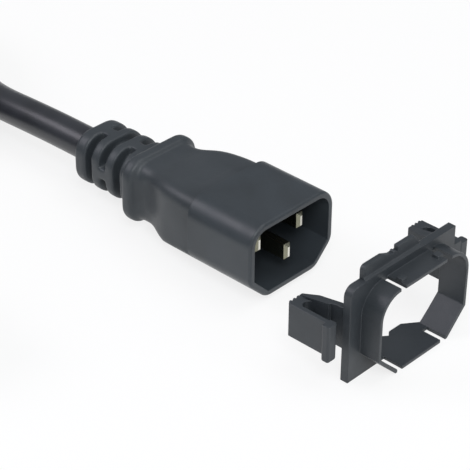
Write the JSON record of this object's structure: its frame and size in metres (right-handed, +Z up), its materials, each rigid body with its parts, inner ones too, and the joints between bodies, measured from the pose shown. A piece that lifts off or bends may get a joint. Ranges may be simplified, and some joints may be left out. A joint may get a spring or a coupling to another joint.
{
  "type": "locking power connector",
  "caption": "Moulded male power plug on its cord, with the slotted locking insert and sprung side latches that slide over its shroud.",
  "frame": {"origin": "on the surface that it stands on, under the middle of the plug and insert, measured without the cord", "axes": "+X the way the plug mates, along the plug's axis; +Y across its width; +Z up"},
  "size_m": [0.2481, 0.1139, 0.0273],
  "materials": {
    "shroud_plastic": "smooth satin moulding",
    "grip_vinyl": "soft moulded vinyl",
    "cord_vinyl": "extruded vinyl jacket",
    "insert_plastic": "fine matt moulding",
    "carrier_plastic": "moulded",
    "pin_metal": "nickel plated brass",
    "contact_metal": "stamped strip",
    "copper": "bare stranded copper",
    "live_insulation": "extruded vinyl",
    "neutral_insulation": "extruded vinyl",
    "earth_insulation": "extruded vinyl"
  },
  "bodies": {
    "plug": {"plug_shroud": "shroud_plastic", "pin_bridge": "carrier_plastic", "live_pin": "pin_metal", "neutral_pin": "pin_metal", "earth_pin": "pin_metal", "live_core": "live_insulation", "neutral_core": "neutral_insulation", "earth_core": "earth_insulation", "live_wire": "copper", "neutral_wire": "copper", "earth_wire": "copper", "sheath_end": "cord_vinyl", "plug_grip": "grip_vinyl", "cord_lead": "cord_vinyl", "cord_coil": "cord_vinyl", "cord_tail": "cord_vinyl", "connector_grip": "grip_vinyl", "connector_core": "shroud_plastic", "connector_live_contact": "contact_metal", "connector_neutral_contact": "contact_metal", "connector_earth_contact": "contact_metal", "connector_live_core": "live_insulation", "connector_neutral_core": "neutral_insulation", "connector_earth_core": "earth_insulation", "connector_sheath_end": "cord_vinyl"},
    "insert": {"insert_frame": "insert_plastic"},
    "near_latch": {"near_latch": "insert_plastic"},
    "far_latch": {"far_latch": "insert_plastic"}
  },
  "joints": [
    {"name": "insert_slide", "type": "slide", "parent": "plug", "child": "insert", "axis": [-1, 0, 0], "range_m": [0, 0.0475]},
    {"name": "near_latch_squeeze", "type": "hinge", "parent": "insert", "child": "near_latch", "pos_m": [0.044, -0.01725, 0.0111], "axis": [0, 0, -1], "range_deg": [0, 8], "stiffness_Nm_per_rad": 0.3},
    {"name": "far_latch_squeeze", "type": "hinge", "parent": "insert", "child": "far_latch", "pos_m": [0.044, 0.01725, 0.0111], "axis": [0, 0, 1], "range_deg": [0, 8], "stiffness_Nm_per_rad": 0.3}
  ]
}
